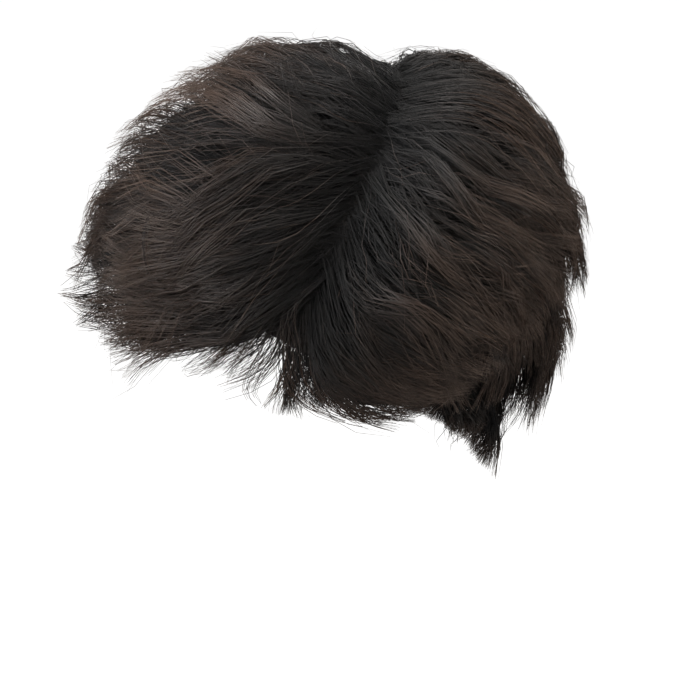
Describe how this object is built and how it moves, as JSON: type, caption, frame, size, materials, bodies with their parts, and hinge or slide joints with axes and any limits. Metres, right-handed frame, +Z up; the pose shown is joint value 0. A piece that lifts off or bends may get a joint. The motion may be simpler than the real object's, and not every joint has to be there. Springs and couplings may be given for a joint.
{
  "type": "synthetic wig",
  "caption": "Short layered dark wig with a side parting, a swept top, a wispy fringe and a tapered nape, on a thin net cap that is open below for the head.",
  "frame": {"origin": "the point inside the cap where the top of the head sits", "axes": "+Z up, -Y the way the wearer faces, +X the wearer's left"},
  "size_m": [0.2062, 0.2274, 0.2234],
  "materials": {
    "hair": "very dark brown synthetic fibre with a soft grey sheen",
    "cap_net": "black stretch net with sewn rows"
  },
  "bodies": {
    "root": {"cap": "cap_net", "top_right": "hair", "top_left": "hair", "crown_back": "hair", "fringe": "hair", "side_left": "hair", "side_right": "hair", "sideburn_left": "hair", "sideburn_right": "hair", "ear_back_left": "hair", "ear_back_right": "hair", "back_lower": "hair", "nape": "hair"}
  },
  "joints": []
}
